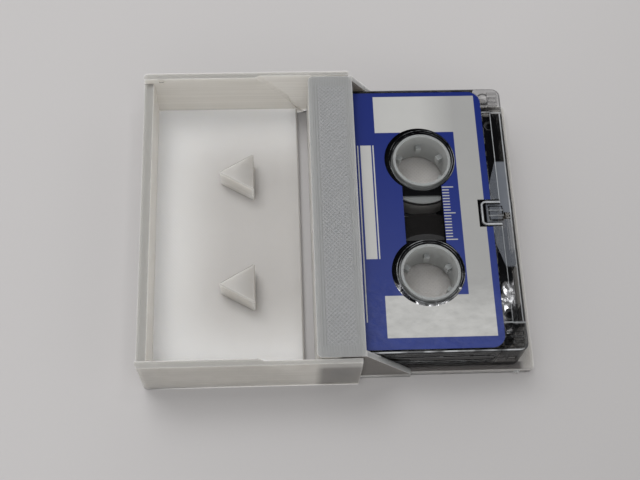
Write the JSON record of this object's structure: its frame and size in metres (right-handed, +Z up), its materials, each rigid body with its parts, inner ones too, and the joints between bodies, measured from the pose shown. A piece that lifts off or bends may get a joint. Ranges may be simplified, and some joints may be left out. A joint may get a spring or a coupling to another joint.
{
  "type": "microcassette case with cassette",
  "caption": "Hinged microcassette case with hub pegs, snap closure and a pocket lid that swings over, shown open with a clear-shelled cassette held in the pocket.",
  "frame": {"origin": "on the table, midway along the hinge axis's length and straight below it, at the bottom centre of the open case", "axes": "+X from the tray towards the opened lid and the cassette's tape side, +Y along the hinge axis to the far side, +Z up"},
  "size_m": [0.0666, 0.0544, 0.0125],
  "materials": {
    "milky_print": "satin, fine layer lines",
    "clear_shell": "clear, glossy",
    "label": "satin coated paper, dark blue",
    "slip_sheet": "matt graphite film",
    "tape": "smooth dark brown",
    "hub": "satin",
    "roller": "satin",
    "felt": "pressed felt",
    "spring": "plain",
    "shield": "plain"
  },
  "bodies": {
    "tray": {"case_tray": "milky_print"},
    "lid": {"case_lid": "milky_print"},
    "cassette": {"cassette_upper_shell": "clear_shell", "cassette_lower_shell": "clear_shell", "cassette_upper_label": "label", "cassette_lower_label": "label", "upper_slip_sheet": "slip_sheet", "lower_slip_sheet": "slip_sheet", "tape_run": "tape", "head_shield": "shield"},
    "supply_reel": {"supply_hub": "hub", "supply_leader_clamp": "hub", "supply_tape_pack": "tape"},
    "takeup_reel": {"takeup_hub": "hub", "takeup_leader_clamp": "hub", "takeup_tape_pack": "tape"},
    "pad": {"pressure_pad": "felt", "pad_spring": "spring"},
    "near_roller": {"near_guide_roller": "roller"},
    "far_roller": {"far_guide_roller": "roller"}
  },
  "joints": [
    {"name": "lid_hinge", "type": "hinge", "parent": "tray", "child": "lid", "pos_m": [0, 0, 0.00625], "axis": [0, 1, 0], "range_deg": [-180, 0]},
    {"name": "cassette_slide", "type": "slide", "parent": "lid", "child": "cassette", "axis": [0.9816, 0, 0.1908], "range_m": [0, 0.038]},
    {"name": "supply_reel_spin", "type": "hinge", "parent": "cassette", "child": "supply_reel", "pos_m": [0.0157, -0.01065, 0.00555], "axis": [0, 0, 1], "continuous": true},
    {"name": "takeup_reel_spin", "type": "hinge", "parent": "cassette", "child": "takeup_reel", "pos_m": [0.0157, 0.01065, 0.00555], "axis": [0, 0, 1], "continuous": true},
    {"name": "pad_press", "type": "slide", "parent": "cassette", "child": "pad", "axis": [-1, 0, 0], "range_m": [0, 0.0004], "stiffness_N_per_m": 300},
    {"name": "near_roller_spin", "type": "hinge", "parent": "cassette", "child": "near_roller", "pos_m": [0.0287, -0.0181, 0.00555], "axis": [0, 0, 1], "continuous": true},
    {"name": "far_roller_spin", "type": "hinge", "parent": "cassette", "child": "far_roller", "pos_m": [0.0287, 0.0181, 0.00555], "axis": [0, 0, 1], "continuous": true}
  ],
  "couplings": [
    {"joint": "takeup_reel_spin", "follows": "supply_reel_spin", "ratio": 1.4444}
  ]
}
